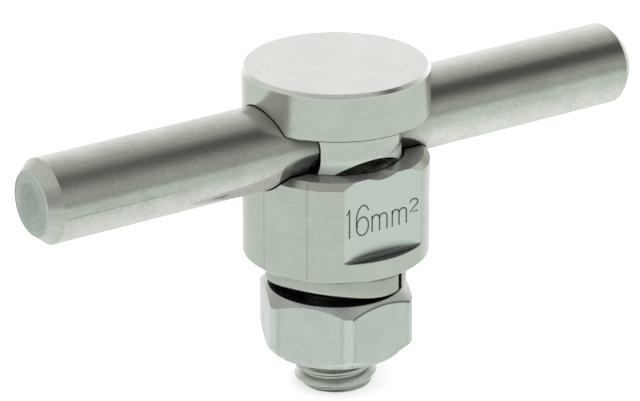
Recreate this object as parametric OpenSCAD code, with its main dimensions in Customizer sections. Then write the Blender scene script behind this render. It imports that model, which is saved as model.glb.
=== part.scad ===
// Cross clamp connector for a round earthing rod and a crossing cable.
// A one-piece clamp bolt holds the rod in its bored neck, and the nut draws
// a grooved collar up against it over a bowed split washer.
// The bolt stands on the end of its stud, with the rod along X and the cable passage along Y.

/* [Rod] */
// Diameter of the round rod
rod_d = 10; // [8:0.5:10.5]
// Length of the rod
rod_l = 82; // [50:1:200]
// Length of the bevel at each rod end
rod_bevel_l = 1.4; // [0.3:0.1:2]
// Depth of the bevel at each rod end, measured inwards
rod_bevel_depth = 1.2; // [0.3:0.1:2]

/* [Cable passage] */
// Width of the cable hole across the neck
cable_hole_d = 9.6; // [6:0.2:10]
// Solid web between the cable hole and the foot of the neck
cable_web = 1.1; // [0.6:0.1:2]
// Radius of the flat arch that closes the cable hole at the top
crown_r = 8; // [5.2:0.1:9]
// Height of the arch above the collar's rim
crown_rise = 1.35; // [0.8:0.05:2.2]
// Depth of the cable trough where it runs out of the collar's flat
trough_depth = 0.45; // [0.2:0.05:0.8]

/* [Head] */
// Diameter of the bolt head, which the collar shares
head_d = 22.1; // [20.5:0.1:26]
// Height of the bolt head
head_h = 5.75; // [4.5:0.05:9]
// Depth of the saddle that the rod's back lies in
saddle_depth = 2.55; // [1:0.05:3]
// Chamfer round the top of the head
head_chamfer = 0.4; // [0.2:0.05:1]
// Edge break round the underside of the head
head_break = 0.2; // [0.1:0.05:0.4]

/* [Neck and stud] */
// Diameter of the bored neck
neck_d = 15.4; // [15:0.1:16.5]
// Length by which the rod hole is drawn out below the rod
slot_draw = 1.2; // [0.4:0.1:2]
// Nominal thread diameter of the stud
stud_d = 10; // [8:0.5:10.5]
// Length of stud that stands out below the nut
stud_free = 4.8; // [2:0.1:12]
// Chamfer on the end of the stud
stud_chamfer = 0.75; // [0.3:0.05:1.5]

/* [Collar] */
// Height of the collar
collar_h = 12.3; // [10.5:0.1:16]
// Thickness of the collar's floor
collar_floor = 2.6; // [1.5:0.1:3.5]
// Depth to which the rod sits in the collar's rim
rod_seat = 2.25; // [1:0.05:2.6]
// Chamfer round the top of the collar
collar_chamfer = 0.75; // [0.3:0.05:1]
// Edge break round the underside of the collar
collar_break = 0.2; // [0.1:0.05:0.4]
// Depth of each spanner flat, from the round side
flat_depth = 1.5; // [0.5:0.05:1.8]
// Height of the ledge under each flat, above the collar's underside
ledge_h = 2.4; // [1:0.05:4]
// Radius of the cove between a flat and its ledge
ledge_r = 0.35; // [0.1:0.05:1.5]

/* [Spring washer] */
// Outer diameter of the spring washer
washer_d = 16.8; // [14:0.2:18]
// Thickness of the washer
washer_t = 2.35; // [1.5:0.05:3]
// Rise of the washer's underside from the split line to its sides
washer_bow = 1.45; // [0.5:0.05:2.5]
// Direction of the split, seen from above
split_a = 300; // [0:1:359]
// Width of the split
split_w = 0.95; // [0.4:0.05:2]

/* [Nut] */
// Width across the nut's flats
nut_af = 17; // [15:0.5:19]
// Height of the nut
nut_h = 8; // [6:0.1:10]
// Height of the washer face under the nut
nut_foot_h = 0.25; // [0.1:0.05:0.8]
// Angle at which the nut stands
nut_a = 4.6; // [0:0.1:59]

/* [Clearances] */
// Gap between the rod and the beds of the saddle and the collar's rim
rod_clear = 0.1; // [0.02:0.01:0.2]
// Amount by which the beds' radius is larger than the rod's
bed_ease = 0.15; // [0.15:0.05:0.5]
// Radial clearance of the neck in the collar
neck_clear = 0.1; // [0.05:0.01:0.25]
// Gap between the foot of the neck and the collar's floor
foot_gap = 0.35; // [0.2:0.05:1]
// Radial clearance of the stud in the collar's floor
floor_clear = 0.25; // [0.1:0.05:0.4]
// Radial clearance of the stud in the washer
washer_clear = 0.3; // [0.1:0.05:0.6]
// Radial clearance of the stud in the nut
thread_clear = 0.05; // [0.02:0.01:0.1]
// Gap between the nut and the washer's split line
nut_gap = 0.25; // [0.05:0.05:0.3]

/* [Hidden] */
$fn = 96;

// Steel shades
turned = [0.76, 0.77, 0.74];
drawn = [0.66, 0.68, 0.65];
plain = [0.71, 0.73, 0.71];

// Room that a cutting shape runs past the face it cuts
past = 1;

// Radii
rod_r = rod_d / 2;
head_r = head_d / 2;
neck_r = neck_d / 2;
stud_r = stud_d / 2;
collar_r = head_r;
cable_hole_r = cable_hole_d / 2;
bed_r = rod_r + bed_ease;
collar_bore_r = neck_r + neck_clear;
washer_r = washer_d / 2;
washer_bore_r = stud_r + washer_clear;

// Distance of each spanner flat from the axis
flat_y = collar_r - flat_depth;

// The washer is bent round an axis along its split line, and touches the collar at its sides
bend_r = (pow(washer_bow, 2) + pow(washer_r, 2)) / (2 * washer_bow);
washer_h = bend_r - sqrt(pow(bend_r - washer_t, 2) - pow(washer_r, 2));

// Heights above the end of the stud
nut_z = stud_free;
washer_z = nut_z + nut_h + nut_gap;
collar_z = washer_z + washer_h;
collar_top = collar_z + collar_h;
floor_z = collar_z + collar_floor;
neck_z = floor_z + foot_gap;
cable_hole_z = neck_z + cable_web + cable_hole_r;
crown_top = collar_top + crown_rise;
rod_z = collar_top + rod_r - rod_seat;
saddle_z = rod_z + rod_r + rod_clear - bed_r;
rim_bed_z = rod_z - rod_r - rod_clear + bed_r;
head_z = rod_z + rod_r - saddle_depth;
head_top = head_z + head_h;

// Edge breaks on the neck and the nut's bore
neck_break = 0.3;
bore_break = 0.6;

// The nut's corners are blunted, and cut by a cone above and a steeper one over the washer face
nut_blunt_r = 0.975 * nut_af / 2 / cos(30);
nut_face_r = 0.96 * nut_af / 2;
nut_foot_r = 0.955 * nut_af / 2;
nut_top_cone = 36;
nut_foot_cone = 38;
nut_bore_r = stud_r + thread_clear;

module bar_x(r, l) {
    rotate([0, 90, 0]) cylinder(r = r, h = l, center = true);
}

module bar_y(r, l) {
    rotate([90, 0, 0]) cylinder(r = r, h = l, center = true);
}

// Rod hole, round at the saddle and drawn out downwards
module rod_hole() {
    hole_l = head_d + 2 * past;
    drawn_z = rod_z - slot_draw;
    translate([0, 0, saddle_z]) bar_x(bed_r, hole_l);
    translate([0, 0, drawn_z]) bar_x(bed_r, hole_l);
    translate([-hole_l / 2, -bed_r, drawn_z]) cube([hole_l, 2 * bed_r, saddle_z - drawn_z]);
}

// Cable hole with a round floor, upright sides and a flat arch on top
module cable_hole() {
    hole_l = neck_d + 2 * past;
    translate([0, 0, cable_hole_z]) bar_y(cable_hole_r, hole_l);
    intersection() {
        translate([0, 0, crown_top - crown_r]) bar_y(crown_r, hole_l + past);
        translate([-cable_hole_r, -hole_l / 2, cable_hole_z])
            cube([cable_hole_d, hole_l, crown_top + past - cable_hole_z]);
    }
}

// Turned section of the bolt, from the stud's end to the head
module bolt_section() {
    polygon([
        [0, 0],
        [stud_r - stud_chamfer, 0],
        [stud_r, stud_chamfer],
        [stud_r, neck_z],
        [neck_r - neck_break, neck_z],
        [neck_r, neck_z + neck_break],
        [neck_r, head_z],
        [head_r - head_break, head_z],
        [head_r, head_z + head_break],
        [head_r, head_top - head_chamfer],
        [head_r - head_chamfer, head_top],
        [0, head_top]
    ]);
}

module clamp_bolt() {
    color(turned) difference() {
        rotate_extrude() bolt_section();
        rod_hole();
        cable_hole();
    }
}

// Turned section of the collar, a cup with a hole in its floor
module collar_section() {
    hole_r = stud_r + floor_clear;
    polygon([
        [hole_r, collar_z],
        [collar_r - collar_break, collar_z],
        [collar_r, collar_z + collar_break],
        [collar_r, collar_top - collar_chamfer],
        [collar_r - collar_chamfer, collar_top],
        [collar_bore_r, collar_top],
        [collar_bore_r, floor_z],
        [hole_r, floor_z]
    ]);
}

// Cutter for one spanner flat, with a cove above the ledge
module flat_cutter() {
    flat_l = 2 * collar_r;
    ledge_z = collar_z + ledge_h;
    reach = flat_depth + past;
    rise = collar_top - ledge_z + past;
    translate([-collar_r, flat_y + ledge_r, ledge_z]) cube([flat_l, reach, rise]);
    translate([-collar_r, flat_y, ledge_z + ledge_r]) cube([flat_l, reach, rise]);
    translate([0, flat_y + ledge_r, ledge_z + ledge_r]) bar_x(ledge_r, flat_l);
}

// Cutter for one cable trough, which starts at the bore and slopes down to the flat
module trough_cutter() {
    slope = atan(trough_depth / (flat_y - collar_bore_r));
    translate([0, collar_bore_r, collar_top]) rotate([-slope, 0, 0])
        translate([0, 0, cable_hole_r]) bar_y(cable_hole_r, 2 * collar_r);
}

module clamp_collar() {
    bed_l = 2 * collar_r + 2 * past;
    color(plain) difference() {
        rotate_extrude() collar_section();
        translate([0, 0, rim_bed_z]) bar_x(bed_r, bed_l);
        for (side = [0, 1]) mirror([0, side, 0]) {
            flat_cutter();
            trough_cutter();
        }
    }
}

// Flat ring that the washer is made from
module washer_ring() {
    ring_h = washer_h + 2 * past;
    difference() {
        cylinder(r = washer_r, h = ring_h, center = true);
        cylinder(r = washer_bore_r, h = ring_h + past, center = true);
    }
}

// Curved plate whose lowest line lies along X at height zero
module bent_plate() {
    plate_l = washer_d + 2 * past;
    translate([0, 0, bend_r]) difference() {
        bar_x(bend_r, plate_l);
        bar_x(bend_r - washer_t, plate_l + past);
    }
}

module spring_washer() {
    color(plain) translate([0, 0, washer_z]) rotate([0, 0, split_a]) difference() {
        intersection() {
            translate([0, 0, washer_h / 2]) washer_ring();
            bent_plate();
        }
        translate([0, -split_w / 2, -past]) cube([washer_d, split_w, washer_h + 2 * past]);
    }
}

// Section that chamfers the nut's corners, with a washer face at the bottom
module nut_section() {
    foot_cut = (nut_blunt_r - nut_foot_r) * tan(nut_foot_cone);
    top_cut = (nut_blunt_r - nut_face_r) * tan(nut_top_cone);
    polygon([
        [0, 0],
        [nut_foot_r, 0],
        [nut_foot_r, nut_foot_h],
        [nut_blunt_r, nut_foot_h + foot_cut],
        [nut_blunt_r, nut_h - top_cut],
        [nut_face_r, nut_h],
        [0, nut_h]
    ]);
}

// Bore of the nut with a countersink at both faces
module nut_bore_section() {
    mouth_r = nut_bore_r + bore_break;
    polygon([
        [0, -past],
        [mouth_r, -past],
        [mouth_r, 0],
        [nut_bore_r, bore_break],
        [nut_bore_r, nut_h - bore_break],
        [mouth_r, nut_h],
        [mouth_r, nut_h + past],
        [0, nut_h + past]
    ]);
}

module hex_nut() {
    corner_r = nut_af / 2 / cos(30);
    color(plain) translate([0, 0, nut_z]) rotate([0, 0, nut_a]) difference() {
        intersection() {
            cylinder(r = corner_r, h = nut_h, $fn = 6);
            rotate_extrude() nut_section();
        }
        rotate_extrude() nut_bore_section();
    }
}

// Turned section of the rod, with a bevel at both ends
module rod_section() {
    half = rod_l / 2;
    face_r = rod_r - rod_bevel_depth;
    polygon([
        [0, -half],
        [face_r, -half],
        [rod_r, rod_bevel_l - half],
        [rod_r, half - rod_bevel_l],
        [face_r, half],
        [0, half]
    ]);
}

module conductor_rod() {
    color(drawn) translate([0, 0, rod_z]) rotate([0, 90, 0]) rotate_extrude() rod_section();
}

clamp_bolt();
clamp_collar();
spring_washer();
hex_nut();
conductor_rod();
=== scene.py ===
import math

import bmesh
import bpy
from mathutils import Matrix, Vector


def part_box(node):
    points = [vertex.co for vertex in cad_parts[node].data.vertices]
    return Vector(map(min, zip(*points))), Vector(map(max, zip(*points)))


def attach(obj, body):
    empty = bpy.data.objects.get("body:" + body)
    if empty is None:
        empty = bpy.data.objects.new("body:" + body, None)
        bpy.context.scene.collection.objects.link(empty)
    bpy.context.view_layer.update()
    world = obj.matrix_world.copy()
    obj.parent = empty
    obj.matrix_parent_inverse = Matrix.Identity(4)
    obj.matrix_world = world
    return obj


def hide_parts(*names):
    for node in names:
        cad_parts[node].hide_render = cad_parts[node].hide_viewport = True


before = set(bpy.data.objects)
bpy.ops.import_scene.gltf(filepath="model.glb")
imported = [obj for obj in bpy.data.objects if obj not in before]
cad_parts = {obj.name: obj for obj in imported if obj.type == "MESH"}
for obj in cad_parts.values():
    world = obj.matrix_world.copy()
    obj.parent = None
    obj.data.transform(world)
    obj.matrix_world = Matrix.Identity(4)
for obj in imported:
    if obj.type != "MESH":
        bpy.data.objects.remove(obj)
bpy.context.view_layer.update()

MM = 0.001
WHITE = (1, 1, 1, 1)

# Sizes and places that model.glb's parts give
HEAD_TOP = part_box("clamp_bolt")[1].z
COLLAR_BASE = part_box("clamp_collar")[0].z
COLLAR_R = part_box("clamp_collar")[1].x
RIM_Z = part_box("clamp_collar")[1].z
WASHER_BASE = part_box("spring_washer")[0].z
NUT_TOP_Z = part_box("hex_nut")[1].z
ROD_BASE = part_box("conductor_rod")[0].z
ROD_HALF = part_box("conductor_rod")[1].x

# Stud and thread
STUD_R = 5 * MM
STUD_END_R = 4.25 * MM
FOOT_Z = COLLAR_BASE + 2.95 * MM
STUD_TOP_Z = FOOT_Z + 0.3 * MM
THREAD_PITCH = 1.5 * MM
THREAD_CREST_R = 4.92 * MM
THREAD_ROOT_R = 4.1 * MM
THREAD_FOOT_HALF = 0.62 * MM
THREAD_SHOULDER_HALF = 0.13 * MM
THREAD_SHOULDER_DROP = 0.05 * MM
THREAD_CREST_HALF = 0.07 * MM
THREAD_SHARP = 35
CREST_ANGLE = math.radians(235.3)
CREST_Z = 1.1 * MM
TURN_STEPS = 120

# Spring washer
WASHER_R = 8.4 * MM
WASHER_BORE_R = 5.3 * MM
WASHER_T = 2.35 * MM
WASHER_BOW = 1.45 * MM
WASHER_ROUND = 0.28 * MM
WASHER_SHARP = 40
END_ROUND = 0.5 * MM
END_STEPS = 6
SPLIT_ANGLE = math.radians(300)
SPLIT_WIDTH = 0.95 * MM
WASHER_STEPS = 160
BEND_R = (WASHER_BOW ** 2 + WASHER_R ** 2) / (2 * WASHER_BOW)

# Size mark on the collar's flat; the letters' own heights are in millimetres
FLAT_DEPTH = 1.5 * MM
FLAT_Y = FLAT_DEPTH - COLLAR_R
MARK_WIDTH = 0.2 * MM
MARK_PROUD = 0.012 * MM
MARK_SUNK = 0.06 * MM
MARK_SHARP = 30
LETTER_LOW = 22.62
LETTER_SPRING = 24.15
LETTER_RISE = 0.48

# Camera, from the fit of the photo's outlines
CAMERA_PLACE = Vector((-217.16, -313.29, 179.35)) * MM
CAMERA_LOOK = Vector((0.52332, 0.76294, -0.37955))
CAMERA_LENS = 196.82
SENSOR_WIDTH = 36
CLIP_NEAR = 0.01
CLIP_FAR = 20


def show(name, data):
    """Object of that name in the scene, made of a mesh, a light or a camera."""
    obj = bpy.data.objects.new(name, data)
    bpy.context.scene.collection.objects.link(obj)
    return obj


def mesh_from(bm, name, sharp_degrees):
    """Mesh of bm, smooth except along edges sharper than the angle given."""
    bmesh.ops.recalc_face_normals(bm, faces=bm.faces[:])
    mesh = bpy.data.meshes.new(name)
    bm.to_mesh(mesh)
    bm.free()
    mesh.shade_smooth()
    mesh.set_sharp_from_angle(angle=math.radians(sharp_degrees))
    return mesh


def skin_rings(bm, rings):
    """Closed skin over rings of points, with a cap on the first and the last."""
    made = [[bm.verts.new(point) for point in ring] for ring in rings]
    for ring, after in zip(made, made[1:]):
        for k in range(len(ring)):
            nxt = (k + 1) % len(ring)
            bm.faces.new((ring[k], ring[nxt], after[nxt], after[k]))
    bm.faces.new(made[0])
    bm.faces.new(made[-1])


# Shapes

def bolt_body_mesh():
    """The bolt's own mesh without its plain stud, closed at the foot of the neck."""
    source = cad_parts["clamp_bolt"].data
    slack = 0.01 * MM

    def on_stud(index):
        co = source.vertices[index].co
        return co.z < FOOT_Z + slack and co.xy.length < STUD_R + slack

    kept = [face for face in source.polygons if not all(on_stud(i) for i in face.vertices)]
    normals = []
    faces = []
    for face in kept:
        faces.append(list(face.vertices))
        normals += [source.corner_normals[i].vector.copy() for i in face.loop_indices]
    rim = {}
    for index in {i for face in kept for i in face.vertices if on_stud(i)}:
        co = source.vertices[index].co
        rim[round(math.atan2(co.y, co.x), 4)] = index
    ring = [rim[angle] for angle in sorted(rim)]
    points = [vertex.co.copy() for vertex in source.vertices]
    faces.append(ring[::-1])
    normals += [Vector((0, 0, -1))] * len(ring)
    used = sorted({i for face in faces for i in face})
    number = {old: new for new, old in enumerate(used)}
    mesh = bpy.data.meshes.new("clamp_bolt_body")
    mesh.from_pydata([points[i] for i in used], [], [[number[i] for i in face] for face in faces])
    mesh.shade_smooth()
    mesh.normals_split_custom_set(normals)
    return mesh


def thread_mesh():
    """Stud with a right-hand thread, chamfered at its end."""
    shoulder_r = THREAD_CREST_R - THREAD_SHOULDER_DROP
    profile = [
        (-THREAD_PITCH / 2, THREAD_ROOT_R),
        (-THREAD_FOOT_HALF, THREAD_ROOT_R),
        (-THREAD_SHOULDER_HALF, shoulder_r),
        (-THREAD_CREST_HALF, THREAD_CREST_R),
        (THREAD_CREST_HALF, THREAD_CREST_R),
        (THREAD_SHOULDER_HALF, shoulder_r),
        (THREAD_FOOT_HALF, THREAD_ROOT_R),
    ]
    first = math.floor((-2 * THREAD_PITCH - CREST_Z) / THREAD_PITCH) * TURN_STEPS
    last = math.ceil((STUD_TOP_Z + 2 * THREAD_PITCH - CREST_Z) / THREAD_PITCH) * TURN_STEPS
    bm = bmesh.new()
    rows = []
    for step in range(first, last + 1):
        turns = step / TURN_STEPS
        angle = CREST_ANGLE + math.tau * turns
        z = CREST_Z + THREAD_PITCH * turns
        points = [(r * math.cos(angle), r * math.sin(angle), z + rise) for rise, r in profile]
        rows.append([bm.verts.new(point) for point in points])
    for i in range(len(rows) - 1):
        for k in range(len(profile) - 1):
            bm.faces.new((rows[i][k], rows[i + 1][k], rows[i + 1][k + 1], rows[i][k + 1]))
        above = i + TURN_STEPS
        if above + 1 < len(rows):
            bm.faces.new((rows[i][-1], rows[i + 1][-1], rows[above + 1][0], rows[above][0]))
    for height, side in ((0, -1), (STUD_TOP_Z, 1)):
        bmesh.ops.bisect_plane(
            bm,
            geom=bm.verts[:] + bm.edges[:] + bm.faces[:],
            plane_co=(0, 0, height),
            plane_no=(0, 0, side),
            clear_outer=True,
        )
    bmesh.ops.holes_fill(bm, edges=[edge for edge in bm.edges if edge.is_boundary], sides=0)
    for vertex in bm.verts:
        limit = STUD_END_R + vertex.co.z
        radius = vertex.co.xy.length
        if radius > limit:
            vertex.co.x *= limit / radius
            vertex.co.y *= limit / radius
    return mesh_from(bm, "stud_thread", THREAD_SHARP)


def rounded_section(r_in, r_out, height, rounding, steps=5):
    """Points of a rectangle with round corners, as radius and height."""
    corners = ((r_out, height, 0), (r_in, height, 90), (r_in, 0, 180), (r_out, 0, 270))
    points = []
    for r, z, start in corners:
        centre_r = r - rounding if r == r_out else r + rounding
        centre_z = z - rounding if z == height else z + rounding
        for k in range(steps + 1):
            a = math.radians(start + 90 * k / steps)
            points.append((centre_r + rounding * math.cos(a), centre_z + rounding * math.sin(a)))
    return points


def end_lift(way):
    """How far the round end of the washer has risen, by the way to that end."""
    if way > END_ROUND:
        return 0
    return END_ROUND - math.sqrt(END_ROUND ** 2 - (END_ROUND - way) ** 2)


def washer_mesh():
    """Split ring, bowed about the line through its split, with round lower ends."""
    section = rounded_section(WASHER_BORE_R, WASHER_R, WASHER_T, WASHER_ROUND)
    whole = math.tau * WASHER_R - SPLIT_WIDTH
    first = [END_ROUND * (1 - math.cos(math.pi / 2 * k / END_STEPS)) for k in range(END_STEPS)]
    middle = [END_ROUND + (whole - 2 * END_ROUND) * k / WASHER_STEPS for k in range(WASHER_STEPS + 1)]
    rings = []
    for way in first + middle + [whole - step for step in reversed(first)]:
        lift = end_lift(min(way, whole - way))
        ring = []
        for r, up in section:
            half = math.asin(SPLIT_WIDTH / 2 / r)
            turn = half + (math.tau - 2 * half) * way / whole
            sag = math.sqrt((BEND_R - max(up, lift)) ** 2 - (r * math.sin(turn)) ** 2)
            a = SPLIT_ANGLE + turn
            ring.append((r * math.cos(a), r * math.sin(a), WASHER_BASE + BEND_R - sag))
        rings.append(ring)
    bm = bmesh.new()
    skin_rings(bm, rings)
    return mesh_from(bm, "spring_washer_ring", WASHER_SHARP)


def arc(x, z, rx, rz, start, end, steps=18):
    """Points along part of an ellipse, in degrees."""
    turns = [math.radians(start + (end - start) * k / steps) for k in range(steps + 1)]
    return [(x + rx * math.cos(a), z + rz * math.sin(a)) for a in turns]


def letter_m(left, middle, right):
    """Strokes of a small m whose stems stand at the three places given."""
    strokes = [[(left, LETTER_LOW), (left, LETTER_SPRING + LETTER_RISE)]]
    for a, b in ((left, middle), (middle, right)):
        arch = arc((a + b) / 2, LETTER_SPRING, (b - a) / 2, LETTER_RISE, 180, 0)
        strokes.append(arch + [(b, LETTER_LOW)])
    return strokes


def size_mark_strokes():
    """Strokes of the cable size, a number and its unit, as x and z in millimetres."""
    one = [[(-5.08, 25.45), (-4.71, 26.1), (-4.71, 22.5)]]
    six = [arc(-2.88, 23.66, 0.84, 1.14, 180, 540, 36), arc(-2.79, 24.5, 0.94, 1.72, 212, 35)]
    two = [arc(4.42, 24.98, 0.55, 0.44, 175, -25) + [(3.83, 23.84), (4.97, 23.84)]]
    return one + six + letter_m(-1.52, -0.47, 0.58) + letter_m(1.34, 2.3, 3.34) + two


def stroke_rings(points):
    """Cross sections of a flat ribbon that follows the points on the collar's flat."""
    rings = []
    for i, (x, z) in enumerate(points):
        before = points[max(i - 1, 0)]
        after = points[min(i + 1, len(points) - 1)]
        run = Vector((after[0] - before[0], after[1] - before[1])).normalized()
        side = Vector((-run.y, run.x)) * (MARK_WIDTH / 2)
        here = Vector((x, z)) * MM
        corners = ((1, -MARK_PROUD), (-1, -MARK_PROUD), (-1, MARK_SUNK), (1, MARK_SUNK))
        rings.append([(here.x + s * side.x, FLAT_Y + depth, here.y + s * side.y) for s, depth in corners])
    return rings


def size_mark_mesh():
    """Ribbons of all the mark's strokes."""
    bm = bmesh.new()
    for points in size_mark_strokes():
        skin_rings(bm, stroke_rings(points))
    return mesh_from(bm, "size_mark", MARK_SHARP)


# Materials

# All steel
EDGE_ROUND = 0.1 * MM
EDGE_SAMPLES = 6
BUMP_DEPTH = 0.01 * MM
OCCLUSION_SAMPLES = 8
CLOUD_SCALE = 260.0
CLOUD_SHARE = 0.4
GRAIN_SCALE = 3000.0
GRAIN_SHARE = 0.35
MARKS_SHARE = 0.25
TONE_SPAN = (0.36, 0.64)
GLOSS_SPAN = (0.3, 0.7)
GLOSS_SPREAD = 0.06
TURNED_SCALE = 9000.0
TURNED_DRIFT = 60
TUMBLED_SCALE = 2600.0
LEVEL_FACE = (0.9, 0.97)

# Bolt
NECK_R = 7.7 * MM
CABLE_HOLE_TOP = RIM_Z + 1.35 * MM
BORE_EDGE = (NECK_R - 0.1 * MM, NECK_R - 0.2 * MM)
BORE_CROWN = (CABLE_HOLE_TOP + 0.1 * MM, CABLE_HOLE_TOP)
# Painted shade: darker olive colour inside the cable hole
BORE_SHADE_TONE = (0.6, 0.64, 0.54, 1)
BORE_MATT = 0.5
NECK_BAND_TOP = (31.2 * MM, 30.3 * MM)
NECK_BAND_BASE = (28.0 * MM, 28.5 * MM)
# Painted light: paler, greener colour on the band of the neck
NECK_BAND_PAINTED_LIGHT = (0.74, 0.83, 0.74, 1)
NECK_BAND_MATT = 0.75
HEAD_CHAMFER = (HEAD_TOP - 0.6 * MM, HEAD_TOP - 0.4 * MM)
# Painted highlight: gain of the colour on the head's top chamfer
HEAD_CHAMFER_HIGHLIGHT = 0.33

# Rod
ROD_R = 5 * MM
ROD_AXIS = (0, 0, ROD_BASE + ROD_R)
ROD_BEVEL = 1.4 * MM
BEVEL_START = ROD_HALF - ROD_BEVEL
BEVEL_EDGE = (BEVEL_START - 0.05 * MM, BEVEL_START)
BEVEL_TONE = (0.79, 0.82, 0.79, 1)
BEVEL_MATT = 0.27
# Painted light: the rod's colour is a little darker on its near half and paler on its far half
ROD_LIGHT_LEVELS = (-10 * MM, 10 * MM, 0.945, 1.03)
DRAWN_STRETCH = (60, 5200, 5200)
DRAWN_SHARE = 0.4
DENT_SCALE = 1800.0
DENT_SHARE = 0.6
END_FACE = (0.88, 0.97)
END_RING_SCALE = 3200.0
END_RING_DRIFT = 150
END_RING_SPAN = (0.3, 0.7)
END_RING_PALE = (0.9, 0.91, 0.96, 1)
END_RING_DULL = (0.74, 0.76, 0.8, 1)
END_LEVELS = (0.5 * MM, 3.8 * MM, 0.84, 1.12)
SCRATCH_Z = 31.45 * MM
SCRATCH_HALF = 0.17 * MM
SCRATCH_START = (-BEVEL_START, 0.5 * MM - BEVEL_START)
SCRATCH_FADE = (-20 * MM, -28 * MM)
SCRATCH_FRONT = (-4 * MM, -4.5 * MM)
SCRATCH_WEAR_SCALE = 700.0
SCRATCH_WEAR = (0.25, 0.5)
SCRATCH_SHARE = 0.5
SCRATCH_SHADE = (0.25, 0.27, 0.25, 1)

# Collar
MILLED_EDGE = (COLLAR_R - 0.03 * MM, COLLAR_R - 0.12 * MM)
FLAT_FACE = (0.995, 0.999)
# Painted light: paler colour on the spanner flats, standing in for a brighter reflection
FLAT_PAINTED_LIGHT = (0.77, 0.78, 0.77, 1)
RIM_BAND = (RIM_Z - 1.0 * MM, RIM_Z - 0.8 * MM)
RIM_MATT = 0.5
# Painted shade on the collar's top rim, and a painted dark line along its inner edge
RIM_SHADE_LEVELS = (-4 * MM, 5 * MM, 0.34, 0.48)
RIM_EDGE = (NECK_R + 0.45 * MM, NECK_R + 0.3 * MM)
RIM_EDGE_PAINTED_SHADE = (0.02, 0.022, 0.018, 1)
LEDGE_Z = COLLAR_BASE + 2.4 * MM
LEDGE_HALF = math.sqrt(COLLAR_R ** 2 - FLAT_Y ** 2)
LEDGE_TOP = (LEDGE_Z + 3 * MM, LEDGE_Z + 2 * MM)
LEDGE_FOOT = (LEDGE_Z - 0.1 * MM, LEDGE_Z - 0.02 * MM)
LEDGE_FACE = (0.5, 0.9)
# Painted shade: colours and reach of the shade painted on the ledges and up the foot of each flat
LEDGE_PAINTED_SHADE = (0.24, 0.25, 0.25, 1)
COVE_RISE = 1.45 * MM
COVE_LEAST = 0.05 * MM
COVE_TAPER = 3.0
COVE_FADE = 0.7
COVE_PAINTED_SHADE = (0.1, 0.11, 0.09, 1)
UPRIGHT_LINES = (math.radians(-173.7), math.radians(-142.2))
UPRIGHT_LINE_HALF = math.radians(1.1)
UPRIGHT_LINE_GAP_SCALE = 500.0
UPRIGHT_LINE_GAPS = (0.3, 0.6, 0.1, 0.3)
UPRIGHT_LINE_COLOUR = (0.2, 0.21, 0.2, 1)

# Nut
NUT_TURN = math.radians(4.6)
NUT_HALF_SIDE = math.pi / 6
NUT_SIDE_FACE = (0.3, 0.1)
NUT_FACE_R = 8.16 * MM
NUT_CONE = math.tan(math.radians(36))
CORNER_HALF = math.radians(3.6)
CORNER_LINE = math.radians(1.4)
# Painted highlight on the blunted corners, and a painted dark line beside each
CORNER_HIGHLIGHT = (0.8, 0.81, 0.8, 1)
CORNER_LINE_GAP_SCALE = 400.0
CORNER_LINE_GAPS = (0.3, 0.65, 0.05, 0.25)
CORNER_PAINTED_SHADE = (0.3, 0.31, 0.3, 1)
CONE_FACE = (0.2, 0.4)
CONE_NEAR_HALF = (0.25, -0.05)
# Painted shade on the near half of the upper chamfer
CONE_SHADE_LEVEL = 0.82
FACE_LINE_WAY = (math.sin(NUT_TURN), -math.cos(NUT_TURN), 0)
FACE_LINE_FACING = (0.97, 0.99)
FACE_LINE_DROP = 0.15 * MM
FACE_LINE_HALF = 0.24 * MM
FACE_LINE_COLOUR = (0.12, 0.12, 0.125, 1)

# Size mark
ETCHED_SCALE = 9000.0
ETCHED_DARK = (0.08, 0.1, 0.085, 1)
ETCHED_PALE = (0.17, 0.2, 0.175, 1)
ETCHED_METAL = 0.6
ETCHED_ROUGH = (0.2, 0.8, 0.55, 0.7)
ETCHED_BUMP = 0.3


def fill_socket(tree, socket, value):
    """Links a socket to another node's output, or sets it to a plain value."""
    if isinstance(value, bpy.types.NodeSocket):
        tree.links.new(value, socket)
    else:
        socket.default_value = value


def put(tree, kind, inputs=None, **settings):
    """Adds a node, sets it and links or fills its inputs."""
    node = tree.nodes.new(kind)
    for key, value in settings.items():
        setattr(node, key, value)
    for key, value in (inputs or {}).items():
        fill_socket(tree, node.inputs[key], value)
    return node


def calc(tree, operation, a, b=0.0):
    """Result of one step of arithmetic."""
    return put(tree, "ShaderNodeMath", {0: a, 1: b}, operation=operation).outputs[0]


def times(tree, a, b):
    """Product of two values, which for two masks is 1 only where both are 1."""
    return calc(tree, "MULTIPLY", a, b)


def outside(tree, mask):
    """1 where the mask is 0, and 0 where it is 1."""
    return calc(tree, "SUBTRACT", 1.0, mask)


def vector(tree, operation, a, b=(0, 0, 0)):
    """Result of one step of vector arithmetic."""
    return put(tree, "ShaderNodeVectorMath", {0: a, 1: b}, operation=operation).outputs["Vector"]


def dot(tree, a, b):
    """Dot product of two vectors."""
    return put(tree, "ShaderNodeVectorMath", {0: a, 1: b}, operation="DOT_PRODUCT").outputs["Value"]


def length(tree, a):
    """Length of a vector."""
    return put(tree, "ShaderNodeVectorMath", {0: a}, operation="LENGTH").outputs["Value"]


def scaled(tree, colour, level):
    """Colour times a level."""
    inputs = {0: colour, "Scale": level}
    return put(tree, "ShaderNodeVectorMath", inputs, operation="SCALE").outputs["Vector"]


def parts(tree, a):
    """The X, Y and Z of a vector."""
    return put(tree, "ShaderNodeSeparateXYZ", {0: a}).outputs


def own_place(tree):
    """Place on the surface, in the object's own axes."""
    return put(tree, "ShaderNodeTexCoord").outputs["Object"]


def facing(tree):
    """X, Y and Z of the way the surface faces, in the object's own axes."""
    return parts(tree, put(tree, "ShaderNodeTexCoord").outputs["Normal"])


def bearing(tree, place):
    """Angle round the bolt's axis."""
    along = parts(tree, place)
    return calc(tree, "ARCTAN2", along["Y"], along["X"])


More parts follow.
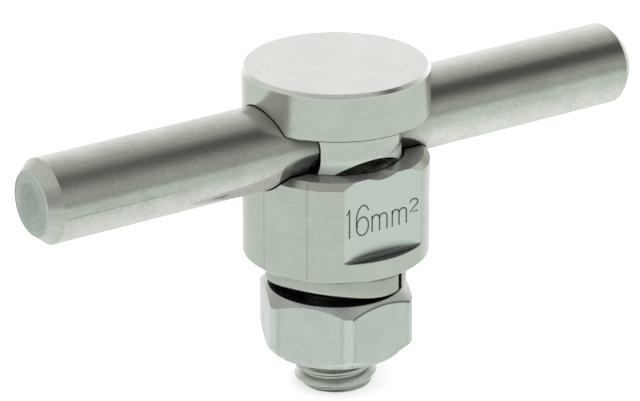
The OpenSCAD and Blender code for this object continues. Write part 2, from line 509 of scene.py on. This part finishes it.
def axis_distance(tree, place):
    """Distance from the bolt's axis."""
    return length(tree, vector(tree, "MULTIPLY", place, (1, 1, 0)))


def rod_distance(tree, place):
    """Distance from the rod's axis."""
    across = vector(tree, "MULTIPLY", vector(tree, "SUBTRACT", place, ROD_AXIS), (0, 1, 1))
    return length(tree, across)


def noise(tree, place, scale, detail=3.0, rough=0.5):
    """Cloudy noise from 0 to 1."""
    inputs = {"Vector": place, "Scale": scale, "Detail": detail, "Roughness": rough}
    return put(tree, "ShaderNodeTexNoise", inputs).outputs["Fac"]


def span(tree, value, low, high, to_low=0.0, to_high=1.0, kind="SMOOTHSTEP"):
    """Smooth step of value from one range to another."""
    inputs = {"Value": value, "From Min": low, "From Max": high, "To Min": to_low, "To Max": to_high}
    return put(tree, "ShaderNodeMapRange", inputs, interpolation_type=kind).outputs["Result"]


def ramp(tree, value, low, high, to_low=0.0, to_high=1.0):
    """Straight step of value from one range to another."""
    return span(tree, value, low, high, to_low, to_high, kind="LINEAR")


def stripe(tree, value, centre, half):
    """1 along a soft line where value is close to centre."""
    return span(tree, calc(tree, "ABSOLUTE", calc(tree, "SUBTRACT", value, centre)), half, 0.0)


def between(tree, factor, a, b):
    """Value between a at factor 0 and b at factor 1."""
    return put(tree, "ShaderNodeMix", {0: factor, 2: a, 3: b}).outputs[0]


def blend(tree, factor, a, b, mode="MIX"):
    """Colour between a at factor 0 and, at factor 1, b or what the mode makes of both."""
    node = put(tree, "ShaderNodeMix", data_type="RGBA", blend_type=mode)
    for index, value in ((0, factor), (6, a), (7, b)):
        fill_socket(tree, node.inputs[index], value)
    return node.outputs[2]


# Fine marks in the steel

def waver(tree, place, along, scale, drift):
    """Lines across the direction that along measures, which waver a little."""
    line = put(tree, "ShaderNodeCombineXYZ", {"X": times(tree, along, scale)}).outputs[0]
    sway = vector(tree, "MULTIPLY", place, (drift, drift, drift))
    return noise(tree, vector(tree, "ADD", line, sway), 1.0, detail=2.0)


def ring_lines(tree, place):
    """Fine turned lines: rings on an end face, level lines round the side."""
    along = calc(tree, "ADD", axis_distance(tree, place), parts(tree, place)["Z"])
    return waver(tree, place, along, TURNED_SCALE, TURNED_DRIFT)


def tumbled(tree, place):
    """Small dents left by tumbling."""
    return noise(tree, place, TUMBLED_SCALE, rough=0.6)


def rod_ends(tree):
    """1 on the rod's two ends, 0 along its side."""
    return span(tree, calc(tree, "ABSOLUTE", facing(tree)["X"]), *END_FACE)


def end_rings(tree, place):
    """Turned rings on the rod's ends."""
    return waver(tree, place, rod_distance(tree, place), END_RING_SCALE, END_RING_DRIFT)


def rod_marks(tree, place):
    """Drawn lines and small dents along the rod, and rings on its ends."""
    drawn = noise(tree, vector(tree, "MULTIPLY", place, DRAWN_STRETCH), 1.0)
    dents = noise(tree, place, DENT_SCALE, rough=0.6)
    side = calc(tree, "ADD", times(tree, drawn, DRAWN_SHARE), times(tree, dents, DENT_SHARE))
    return between(tree, rod_ends(tree), side, end_rings(tree, place))


# Details of each piece: masks, matt shares and changes of colour, many of them painted shade and painted
# highlights

def painted_crevice_shade(reach, dark, clear, shade):
    """Detail that paints shade into the steel's colour where other steel is within reach, as in gaps and
    hollows.
    """
    def darken(tree, place, colour):
        inputs = {"Distance": reach}
        open_air = put(tree, "ShaderNodeAmbientOcclusion", inputs, samples=OCCLUSION_SAMPLES).outputs["AO"]
        return blend(tree, span(tree, open_air, dark, clear), shade, colour)
    return darken


def bore(tree, place):
    """1 inside the cable hole, 0 on the rest of the bolt."""
    inside = span(tree, axis_distance(tree, place), *BORE_EDGE)
    return times(tree, inside, span(tree, parts(tree, place)["Z"], *BORE_CROWN))


def bore_painted_shade(tree, place, colour):
    """Painted shade: darker olive colour inside the cable hole."""
    return blend(tree, bore(tree, place), colour, BORE_SHADE_TONE)


def neck_band(tree, place):
    """1 on the band of the neck that shows above the collar, 0 on the rest of the bolt."""
    height = parts(tree, place)["Z"]
    return times(tree, span(tree, height, *NECK_BAND_TOP), span(tree, height, *NECK_BAND_BASE))


def dull_bolt(tree, place):
    """How matt the bolt is: half in the cable hole, mostly on the band of the neck."""
    hole = times(tree, bore(tree, place), BORE_MATT)
    return calc(tree, "MAXIMUM", hole, times(tree, neck_band(tree, place), NECK_BAND_MATT))


def bolt_painted_light(tree, place, colour):
    """Painted light: paler, greener colour on the band of the neck, and a painted highlight on the head's
    top chamfer.
    """
    sloping = outside(tree, span(tree, facing(tree)["Z"], *LEVEL_FACE))
    edge = times(tree, sloping, span(tree, parts(tree, place)["Z"], *HEAD_CHAMFER))
    colour = scaled(tree, colour, calc(tree, "ADD", 1.0, times(tree, edge, HEAD_CHAMFER_HIGHLIGHT)))
    return blend(tree, neck_band(tree, place), colour, NECK_BAND_PAINTED_LIGHT)


def rod_painted_light(tree, place, colour):
    """Painted light and shade: colour that grows a little paler towards the rod's far end."""
    return scaled(tree, colour, ramp(tree, parts(tree, place)["X"], *ROD_LIGHT_LEVELS))


def rod_bevels(tree, place):
    """1 on the rod's two bevels, 0 on its side and its ends."""
    along = calc(tree, "ABSOLUTE", parts(tree, place)["X"])
    return times(tree, span(tree, along, *BEVEL_EDGE), outside(tree, rod_ends(tree)))


def dull_rod(tree, place):
    """How matt the rod is: a little on its turned bevels."""
    return times(tree, rod_bevels(tree, place), BEVEL_MATT)


def rod_end_tone(tree, place, colour):
    """Duller steel on the rod's bevels, and ringed steel on its ends that is dullest in the middle."""
    rings = blend(tree, span(tree, end_rings(tree, place), *END_RING_SPAN), END_RING_DULL, END_RING_PALE)
    rings = scaled(tree, rings, span(tree, rod_distance(tree, place), *END_LEVELS))
    bevel = blend(tree, 1.0, colour, BEVEL_TONE, "MULTIPLY")
    colour = blend(tree, rod_bevels(tree, place), colour, bevel)
    return blend(tree, rod_ends(tree), colour, blend(tree, 1.0, colour, rings, "MULTIPLY"))


def rod_scratch(tree, place, colour):
    """Long scratch along the front of the rod's near half, which fades out towards the clamp."""
    along = parts(tree, place)
    run = times(tree, span(tree, along["X"], *SCRATCH_FADE), span(tree, along["X"], *SCRATCH_START))
    front = span(tree, along["Y"], *SCRATCH_FRONT)
    patchy = span(tree, noise(tree, place, SCRATCH_WEAR_SCALE), *SCRATCH_WEAR)
    line = stripe(tree, along["Z"], SCRATCH_Z, SCRATCH_HALF)
    mask = times(tree, times(tree, line, patchy), times(tree, front, run))
    return blend(tree, times(tree, mask, SCRATCH_SHARE), colour, SCRATCH_SHADE)


def milled(tree, place):
    """1 on the collar's flats and ledges, 0 on its round side."""
    return span(tree, axis_distance(tree, place), *MILLED_EDGE)


def ledge_painted_shade(tree, place, colour):
    """Painted shade on the milled ledges, which fades out up the foot of each flat."""
    along = parts(tree, place)
    out = calc(tree, "DIVIDE", calc(tree, "ABSOLUTE", along["X"]), LEDGE_HALF)
    taper = outside(tree, calc(tree, "POWER", out, COVE_TAPER))
    reach = calc(tree, "MAXIMUM", times(tree, taper, COVE_RISE), COVE_LEAST)
    rise = calc(tree, "DIVIDE", calc(tree, "SUBTRACT", along["Z"], LEDGE_Z), reach)
    clear = calc(tree, "POWER", ramp(tree, rise, 0.0, 1.0), COVE_FADE)
    level = span(tree, facing(tree)["Z"], *LEDGE_FACE)
    shaded = blend(tree, clear, blend(tree, level, COVE_PAINTED_SHADE, LEDGE_PAINTED_SHADE), colour)
    near = times(tree, span(tree, along["Z"], *LEDGE_TOP), span(tree, along["Z"], *LEDGE_FOOT))
    return blend(tree, times(tree, milled(tree, place), near), colour, shaded)


def rim_height(tree, place):
    """1 at the height of the collar's rim, 0 below it."""
    return span(tree, parts(tree, place)["Z"], *RIM_BAND)


def top_rim(tree, place):
    """1 on the collar's level top rim, 0 on the rest of the collar."""
    return times(tree, span(tree, facing(tree)["Z"], *LEVEL_FACE), rim_height(tree, place))


def dull_collar(tree, place):
    """How matt the collar is: half on its top rim."""
    return times(tree, top_rim(tree, place), RIM_MATT)


def rim_painted_shade(tree, place, colour):
    """Painted shade on the collar's top rim, darkest towards -X, with a painted dark line along its inner
    edge.
    """
    darker = scaled(tree, colour, ramp(tree, parts(tree, place)["X"], *RIM_SHADE_LEVELS))
    colour = blend(tree, top_rim(tree, place), colour, darker)
    edge = times(tree, span(tree, axis_distance(tree, place), *RIM_EDGE), rim_height(tree, place))
    return blend(tree, edge, colour, RIM_EDGE_PAINTED_SHADE)


def flats_painted_light(tree, place, colour):
    """Painted light: paler colour on the spanner flats, standing in for a brighter reflection."""
    flat = span(tree, calc(tree, "ABSOLUTE", facing(tree)["Y"]), *FLAT_FACE)
    return blend(tree, times(tree, flat, milled(tree, place)), colour, FLAT_PAINTED_LIGHT)


def upright_lines(tree, place, colour):
    """Faint dark upright lines on the collar's round side, broken up by noise."""
    turn = bearing(tree, place)
    patchy = span(tree, noise(tree, place, UPRIGHT_LINE_GAP_SCALE), *UPRIGHT_LINE_GAPS)
    for angle in UPRIGHT_LINES:
        line = times(tree, stripe(tree, turn, angle, UPRIGHT_LINE_HALF), patchy)
        colour = blend(tree, line, colour, UPRIGHT_LINE_COLOUR)
    return colour


def nut_corner_highlights(tree, place, colour):
    """Painted highlights on the nut's blunted corners, with a painted dark line beside each."""
    turn = calc(tree, "SUBTRACT", bearing(tree, place), NUT_TURN)
    off = calc(tree, "PINGPONG", turn, NUT_HALF_SIDE)
    side = span(tree, calc(tree, "ABSOLUTE", facing(tree)["Z"]), *NUT_SIDE_FACE)
    band = span(tree, off, CORNER_HALF, CORNER_HALF - CORNER_LINE)
    edge = stripe(tree, off, CORNER_HALF + CORNER_LINE, CORNER_LINE)
    patchy = span(tree, noise(tree, place, CORNER_LINE_GAP_SCALE), *CORNER_LINE_GAPS)
    colour = blend(tree, times(tree, band, side), colour, CORNER_HIGHLIGHT)
    return blend(tree, times(tree, times(tree, edge, side), patchy), colour, CORNER_PAINTED_SHADE)


def nut_cone_painted_shade(tree, place, colour):
    """Painted shade: darker colour on the near half of the nut's upper chamfer."""
    way = facing(tree)
    cone = times(tree, span(tree, way["Z"], *CONE_FACE), span(tree, way["X"], *CONE_NEAR_HALF))
    return blend(tree, cone, colour, scaled(tree, colour, CONE_SHADE_LEVEL))


def nut_face_line(tree, place, colour):
    """Dark line just under the chamfer of one of the nut's faces."""
    out = calc(tree, "SUBTRACT", axis_distance(tree, place), NUT_FACE_R)
    edge = calc(tree, "SUBTRACT", NUT_TOP_Z, times(tree, out, NUT_CONE))
    below = calc(tree, "SUBTRACT", edge, parts(tree, place)["Z"])
    line = stripe(tree, below, FACE_LINE_DROP, FACE_LINE_HALF)
    way = put(tree, "ShaderNodeTexCoord").outputs["Normal"]
    face = span(tree, dot(tree, way, FACE_LINE_WAY), *FACE_LINE_FACING)
    return blend(tree, times(tree, line, face), colour, FACE_LINE_COLOUR)


# Whole materials

def new_tree(owner):
    """Empty node tree of a material or a world."""
    owner.use_nodes = True
    owner.node_tree.nodes.clear()
    return owner.node_tree


def bumped(tree, inputs):
    """Normal of a surface with fine marks."""
    return put(tree, "ShaderNodeBump", {"Distance": BUMP_DEPTH, **inputs}).outputs["Normal"]


def end_tree(tree, inputs):
    """Ends a material's tree in one shader with the inputs given."""
    shader = put(tree, "ShaderNodeBsdfPrincipled", inputs)
    put(tree, "ShaderNodeOutputMaterial", {"Surface": shader.outputs["BSDF"]})


def steel(name, pale, darker, rough, pattern, bump, details, matt=None):
    """Satin stainless steel with a pattern of fine marks, soft edges, the details given and a matt part."""
    material = bpy.data.materials.new(name)
    tree = new_tree(material)
    place = own_place(tree)
    marks = pattern(tree, place)
    clouds = times(tree, noise(tree, place, CLOUD_SCALE, detail=4.0, rough=0.6), CLOUD_SHARE)
    grain = times(tree, noise(tree, place, GRAIN_SCALE, detail=2.0), GRAIN_SHARE)
    tone = calc(tree, "ADD", clouds, grain)
    tone = calc(tree, "ADD", tone, times(tree, marks, MARKS_SHARE))
    colour = blend(tree, span(tree, tone, *TONE_SPAN), (*darker, 1), (*pale, 1))
    for detail in details:
        colour = detail(tree, place, colour)
    soft = put(tree, "ShaderNodeBevel", {"Radius": EDGE_ROUND}, samples=EDGE_SAMPLES).outputs["Normal"]
    end_tree(tree, {
        "Base Color": colour,
        "Metallic": outside(tree, matt(tree, place)) if matt else 1.0,
        "Roughness": span(tree, tone, *GLOSS_SPAN, rough + GLOSS_SPREAD, rough - GLOSS_SPREAD),
        "Normal": bumped(tree, {"Strength": bump, "Height": marks, "Normal": soft}),
    })
    return material


def etched_steel():
    """Dark matt laser mark."""
    material = bpy.data.materials.new("etched_steel")
    tree = new_tree(material)
    grain = noise(tree, own_place(tree), ETCHED_SCALE, rough=0.6)
    end_tree(tree, {
        "Base Color": blend(tree, grain, ETCHED_DARK, ETCHED_PALE),
        "Metallic": ETCHED_METAL,
        "Roughness": span(tree, grain, *ETCHED_ROUGH),
        "Normal": bumped(tree, {"Strength": ETCHED_BUMP, "Height": grain}),
    })
    return material


def dress(obj, material):
    """Gives an object one material in place of those it has."""
    obj.data.materials.clear()
    obj.data.materials.append(material)


def build_object():
    """Dresses the CAD nodes, and adds the thread, the rounded washer and the size mark."""
    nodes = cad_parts
    # Painted shade, made by occlusion: each darkens the steel's colour in the gaps and hollows of its
    # pieces
    bolt_painted_shade = painted_crevice_shade(reach=0.8 * MM, dark=0.05, clear=0.45, shade=(0.06, 0.065, 0.05, 1))
    collar_painted_shade = painted_crevice_shade(reach=0.5 * MM, dark=0.05, clear=0.4, shade=(0.08, 0.085, 0.08, 1))
    ring_painted_shade = painted_crevice_shade(reach=3.5 * MM, dark=0.1, clear=0.6, shade=(0.1, 0.11, 0.105, 1))
    thread_painted_shade = painted_crevice_shade(reach=1.5 * MM, dark=0.3, clear=0.85, shade=(0.36, 0.38, 0.345, 1))
    rod_painted_shade = painted_crevice_shade(reach=7.0 * MM, dark=0.42, clear=0.84, shade=(0.08, 0.088, 0.055, 1))
    turned = steel(
        "turned_steel", pale=(0.74, 0.73, 0.71), darker=(0.68, 0.67, 0.65), rough=0.18,
        pattern=ring_lines, bump=0.12,
        details=(bolt_painted_light, bolt_painted_shade, bore_painted_shade), matt=dull_bolt,
    )
    threaded = steel(
        "threaded_steel", pale=(0.74, 0.74, 0.71), darker=(0.66, 0.66, 0.63), rough=0.26,
        pattern=tumbled, bump=0.12,
        details=(thread_painted_shade,),
    )
    satin = steel(
        "satin_steel", pale=(0.72, 0.715, 0.69), darker=(0.66, 0.655, 0.63), rough=0.26,
        pattern=ring_lines, bump=0.12,
        details=(flats_painted_light, upright_lines, rim_painted_shade, collar_painted_shade, ledge_painted_shade), matt=dull_collar,
    )
    spring = steel(
        "spring_steel", pale=(0.62, 0.62, 0.585), darker=(0.54, 0.54, 0.505), rough=0.3,
        pattern=tumbled, bump=0.15,
        details=(ring_painted_shade,),
    )
    pressed = steel(
        "nut_steel", pale=(0.74, 0.745, 0.74), darker=(0.66, 0.67, 0.66), rough=0.28,
        pattern=tumbled, bump=0.15,
        details=(nut_corner_highlights, nut_face_line, nut_cone_painted_shade, ring_painted_shade),
    )
    drawn = steel(
        "drawn_steel", pale=(0.72, 0.715, 0.68), darker=(0.59, 0.585, 0.55), rough=0.15,
        pattern=rod_marks, bump=0.9,
        details=(rod_painted_light, rod_scratch, rod_end_tone, rod_painted_shade), matt=dull_rod,
    )

    body = show("clamp_bolt_body", bolt_body_mesh())
    stud = show("clamp_bolt_stud", thread_mesh())
    for piece, finish in ((body, turned), (stud, threaded)):
        dress(piece, finish)
        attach(piece, "bolt")
    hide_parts("clamp_bolt")

    washer = show("spring_washer_ring", washer_mesh())
    dress(washer, spring)
    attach(washer, "collar")
    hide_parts("spring_washer")

    mark = show("size_mark", size_mark_mesh())
    dress(mark, etched_steel())
    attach(mark, "collar")

    dress(nodes["clamp_collar"], satin)
    dress(nodes["hex_nut"], pressed)
    dress(nodes["conductor_rod"], drawn)


# Stage

# Floor and lamp
FLOOR_HALF = 2.0
FLOOR_LIFT = 0.45
PAPER_SCALE = 40.0
PAPER_SPAN = (0.3, 0.7)
PAPER_DULL = (0.84, 0.84, 0.83, 1)
PAPER_PALE = (0.86, 0.86, 0.86, 1)
LAMP_SIZE = 1.2
LAMP_ENERGY = 10.0
LAMP_PLACE = Vector((-0.12, 0.08, 1.0))
LAMP_AIM = Vector((0, 0, 0.02))

# World: ways to its parts, how far each part spreads, and its level
STUDIO_BACK = Vector((0.616, 0.788, 0.0))
STUDIO_LEFT = Vector((-0.766, 0.643, 0.0))
CAMERA_SIDE = Vector((-0.53, -0.766, 0.363))
PANEL_MIDDLE = Vector((0.577, -0.459, 0.675))
PANEL_HALF_LONG = 0.63
PANEL_HALF_WIDE = 0.31
PANEL_LONG = Vector((-0.15, 0.753, 0.641)) / PANEL_HALF_LONG
PANEL_WIDE = Vector((-0.802, -0.472, 0.365)) / PANEL_HALF_WIDE
PANEL_CORE = 0.16
PANEL_AHEAD = (0.0, 0.2)
LEFT_SPAN = (0.2, 0.8)
BACK_SPAN = (0.4, 0.95)
WHITE_SPAN = (0.6, 0.85)
CAMERA_SPAN = (0.8, 0.95)
HORIZON_SPAN = (0.02, -0.02)
FLOOR_SPAN = (0.0, -0.3)
UNDER_SPAN = (-0.45, -0.85)
BACK_LEVEL = 1.03
FRONT_LEVEL = 0.445
LEFT_RISE = 0.13
PANEL_SHARE = 0.18
CAMERA_SHARE = 0.35
HORIZON_LEVEL = 0.42
FLOOR_LEVEL = 0.76
UNDER_RISE = 0.26
FILL_LEVEL = 1.0
WALL_TINT = (0.965, 1.015, 0.92, 1)
FLOOR_TINT = (0.885, 1.0, 0.9, 1)
UNDER_TINT = (0.96, 1.0, 0.98, 1)


def dark_panel(tree, way):
    """Share of the light that is left by the dark panel, which is 1 away from it."""
    across = {"X": dot(tree, way, PANEL_LONG), "Y": dot(tree, way, PANEL_WIDE)}
    off = length(tree, put(tree, "ShaderNodeCombineXYZ", across).outputs[0])
    away = outside(tree, span(tree, dot(tree, way, PANEL_MIDDLE), *PANEL_AHEAD))
    return calc(tree, "MAXIMUM", span(tree, off, PANEL_CORE, 1.0, PANEL_SHARE, 1.0), away)


def studio_light(tree, way):
    """What steel sees: bright behind, a pale floor below, a dark panel and the dark of the camera."""
    height = parts(tree, way)["Z"]
    rise = span(tree, dot(tree, way, STUDIO_LEFT), *LEFT_SPAN, 0.0, LEFT_RISE)
    wall = calc(tree, "ADD", rise, FRONT_LEVEL)
    under = ramp(tree, height, *UNDER_SPAN)
    floor = span(tree, height, *FLOOR_SPAN, HORIZON_LEVEL, FLOOR_LEVEL)
    floor = calc(tree, "ADD", floor, times(tree, under, UNDER_RISE))
    below = span(tree, height, *HORIZON_SPAN)
    base = between(tree, below, wall, floor)
    behind = dot(tree, way, STUDIO_BACK)
    back = ramp(tree, behind, *BACK_SPAN, FRONT_LEVEL, BACK_LEVEL)
    camera = span(tree, dot(tree, way, CAMERA_SIDE), *CAMERA_SPAN, 1.0, CAMERA_SHARE)
    dark = times(tree, dark_panel(tree, way), camera)
    level = times(tree, calc(tree, "MAXIMUM", base, back), dark)
    tint = blend(tree, below, WALL_TINT, blend(tree, under, FLOOR_TINT, UNDER_TINT))
    return scaled(tree, blend(tree, span(tree, behind, *WHITE_SPAN), tint, WHITE), level)


def build_world():
    """White to the camera, a soft studio to steel and an even fill to the floor."""
    world = bpy.data.worlds.new("studio")
    bpy.context.scene.world = world
    tree = new_tree(world)
    rays = put(tree, "ShaderNodeLightPath").outputs
    way = put(tree, "ShaderNodeTexCoord").outputs["Generated"]
    seen = blend(tree, rays["Is Camera Ray"], studio_light(tree, way), WHITE)
    studio = put(tree, "ShaderNodeBackground", {"Color": seen, "Strength": 1.0})
    fill = put(tree, "ShaderNodeBackground", {"Color": WHITE, "Strength": FILL_LEVEL})
    direct = calc(tree, "MAXIMUM", rays["Is Camera Ray"], rays["Is Glossy Ray"])
    direct = calc(tree, "MAXIMUM", direct, rays["Is Transmission Ray"])
    mixed = put(tree, "ShaderNodeMixShader", {0: direct, 1: fill.outputs[0], 2: studio.outputs[0]})
    put(tree, "ShaderNodeOutputWorld", {"Surface": mixed.outputs[0]})


def floor_material():
    """Pale floor that looks white to the camera and keeps the object's shadow."""
    material = bpy.data.materials.new("floor")
    tree = new_tree(material)
    rays = put(tree, "ShaderNodeLightPath").outputs
    grain = span(tree, noise(tree, own_place(tree), PAPER_SCALE), *PAPER_SPAN)
    paper = put(tree, "ShaderNodeBsdfDiffuse", {"Color": blend(tree, grain, PAPER_DULL, PAPER_PALE)})
    strength = times(tree, rays["Is Camera Ray"], FLOOR_LIFT)
    lift = put(tree, "ShaderNodeEmission", {"Color": WHITE, "Strength": strength})
    lit = put(tree, "ShaderNodeAddShader", {0: paper.outputs[0], 1: lift.outputs[0]})
    put(tree, "ShaderNodeOutputMaterial", {"Surface": lit.outputs[0]})
    return material


def build_stage():
    """Floor and one soft lamp, neither of which the steel reflects."""
    bm = bmesh.new()
    bmesh.ops.create_grid(bm, x_segments=1, y_segments=1, size=FLOOR_HALF)
    mesh = bpy.data.meshes.new("floor")
    bm.to_mesh(mesh)
    bm.free()
    floor = show("floor", mesh)
    dress(floor, floor_material())
    floor.visible_glossy = False

    lamp = bpy.data.lights.new("soft_box", "AREA")
    lamp.shape = "DISK"
    lamp.size = LAMP_SIZE
    lamp.energy = LAMP_ENERGY
    soft_box = show("soft_box", lamp)
    soft_box.location = LAMP_PLACE
    soft_box.rotation_euler = (LAMP_AIM - LAMP_PLACE).to_track_quat("-Z", "Y").to_euler()
    soft_box.visible_glossy = False


def build_camera():
    """Camera at the photo's place."""
    lens = bpy.data.cameras.new("camera")
    lens.lens = CAMERA_LENS
    lens.sensor_width = SENSOR_WIDTH
    lens.clip_start = CLIP_NEAR
    lens.clip_end = CLIP_FAR
    camera = show("camera", lens)
    camera.location = CAMERA_PLACE
    camera.rotation_euler = CAMERA_LOOK.to_track_quat("-Z", "Y").to_euler()
    bpy.context.scene.camera = camera


bpy.context.scene.view_settings.view_transform = "Standard"
build_camera()
build_object()
build_world()
build_stage()
